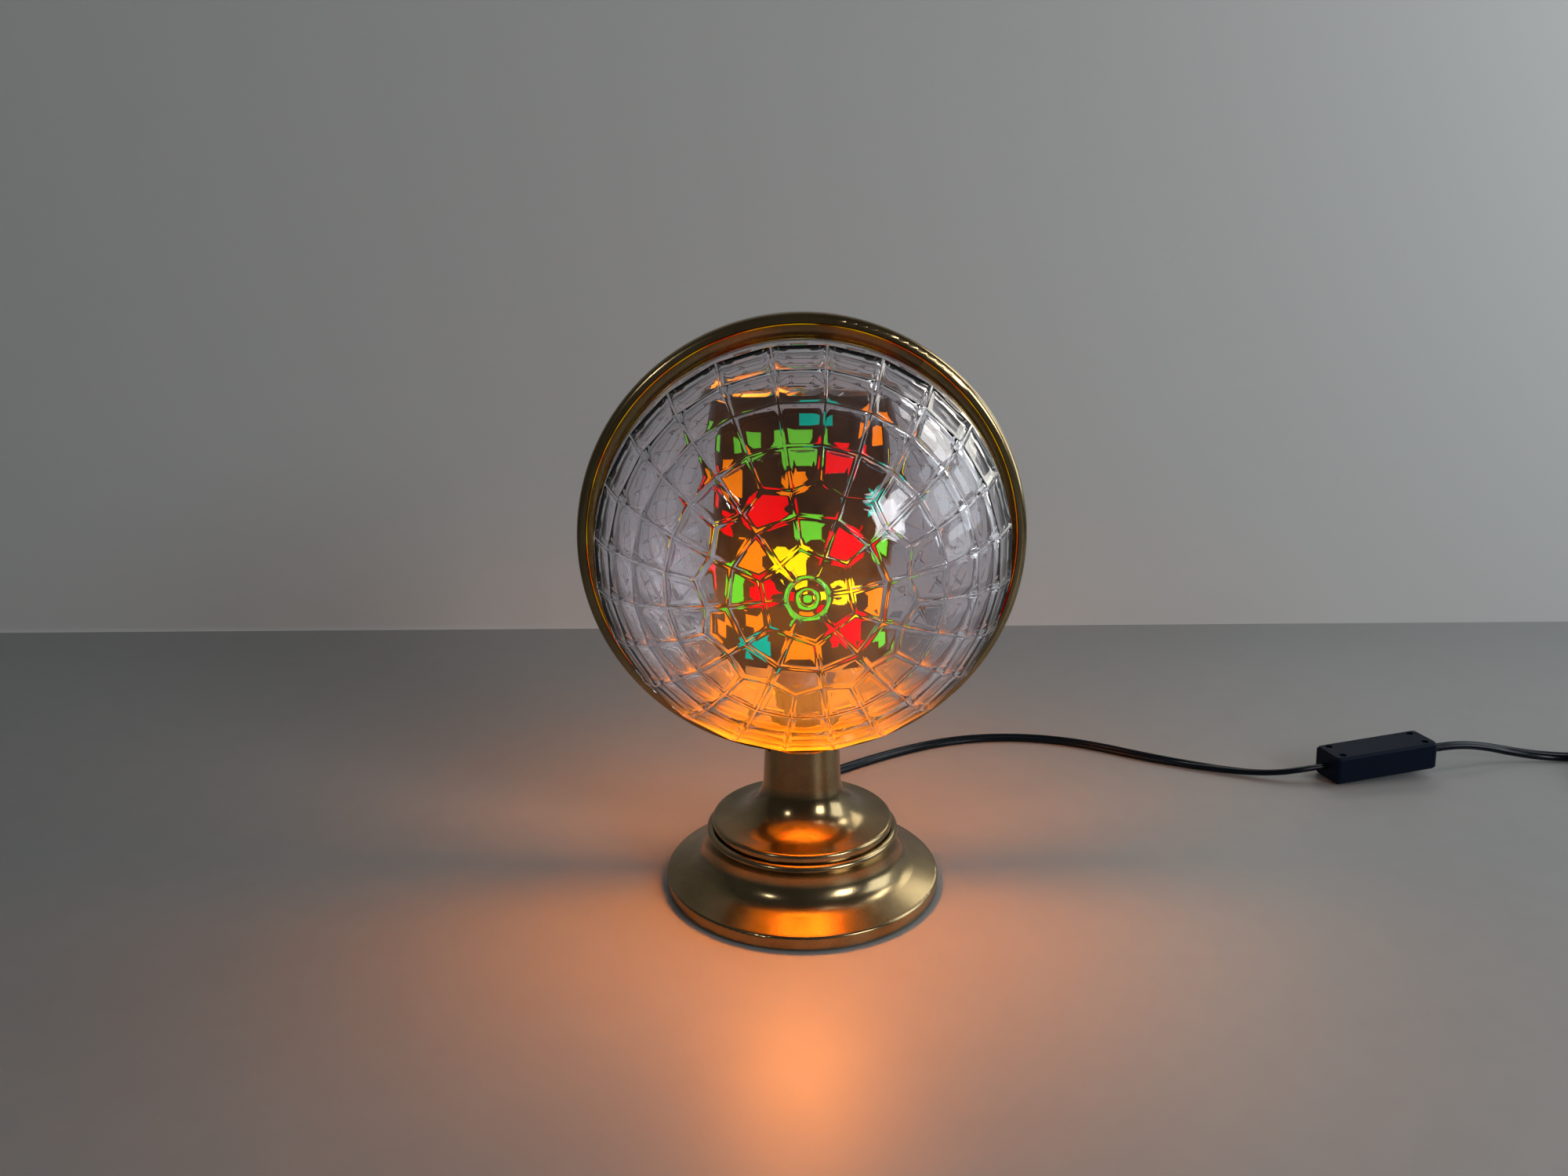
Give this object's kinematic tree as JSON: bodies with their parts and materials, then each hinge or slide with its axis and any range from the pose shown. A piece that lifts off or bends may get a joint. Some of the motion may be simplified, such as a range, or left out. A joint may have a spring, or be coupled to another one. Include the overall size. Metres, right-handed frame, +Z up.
{
  "type": "mood light",
  "caption": "Clear faceted globe in a brass-plated ring and bell foot, with a turning drum of coloured windows round its bulb and an in-line switch on its cord.",
  "frame": {"origin": "middle of the foot's underside, on the table", "axes": "+Z up, -Y towards the front of the globe, +X to the right where the cord runs off"},
  "size_m": [0.6182, 0.2535, 0.2548],
  "materials": {
    "brass_plate": "satin brass-coloured plate over spun steel, fine grain",
    "raw_brass": "plain brass sheet",
    "cast_ballast": "black-painted casting",
    "zinc_steel": "zinc plate",
    "pad_rubber": "matt black rubber",
    "clear_lens": "clear moulded plastic with bright facets",
    "dark_moulding": "dark thermoset moulding",
    "cap_metal": "plain rolled cap",
    "bulb_glass": "clear thin glass, lit from inside",
    "filament": "glowing filament on wire supports",
    "drum_skin": "dark metallised film, smooth",
    "cap_sheet": "dull pressed sheet",
    "film_red": "clear red film",
    "film_amber": "clear amber film",
    "film_yellow": "clear yellow film",
    "film_green": "clear green film",
    "film_teal": "clear blue-green film",
    "cord_black": "smooth black flexible sheath",
    "switch_black": "black moulding, satin gloss",
    "tie_black": "black cord tie",
    "pin_plate": "nickel plate"
  },
  "bodies": {
    "base": {"foot": "brass_plate", "pedestal": "brass_plate", "globe_ring": "brass_plate", "ballast": "cast_ballast", "bottom_cover": "zinc_steel", "foot_pads": "pad_rubber", "cover_screws": "zinc_steel", "threaded_tube": "zinc_steel", "base_washer": "zinc_steel", "base_nut": "zinc_steel", "ring_nut": "zinc_steel", "seat_hoop": "raw_brass", "lens_clips": "raw_brass", "front_lens": "clear_lens", "rear_lens": "clear_lens", "lampholder": "dark_moulding", "socket_shell": "raw_brass", "centre_contact": "raw_brass", "bulb_cap": "cap_metal", "bulb_glass": "bulb_glass", "bulb_filament": "filament", "pivot_bridge": "zinc_steel", "pivot_needle": "zinc_steel", "cord_gland": "cord_black", "inner_leads": "cord_black", "lead_to_switch": "cord_black", "switch_front": "switch_black", "switch_back": "switch_black", "switch_screws": "zinc_steel", "lead_to_plug": "cord_black", "lead_coil": "cord_black", "coil_tie": "tie_black", "lead_tail": "cord_black", "plug_body": "switch_black", "plug_pins": "pin_plate"},
    "drum": {"drum_shell": "drum_skin", "drum_hoop": "drum_skin", "turbine_cap": "cap_sheet", "bearing_cup": "raw_brass", "red_windows": "film_red", "amber_windows": "film_amber", "yellow_windows": "film_yellow", "green_windows": "film_green", "teal_windows": "film_teal"},
    "rocker": {"switch_rocker": "switch_black"}
  },
  "joints": [
    {"name": "drum_spin", "type": "hinge", "parent": "base", "child": "drum", "pos_m": [0, 0, 0.2203], "axis": [0, 0, 1], "continuous": true},
    {"name": "switch_rock", "type": "hinge", "parent": "base", "child": "rocker", "pos_m": [0.31971, 0.10669, 0.00608], "axis": [0.1822, -0.9833, 0], "range_deg": [0, 12]}
  ]
}
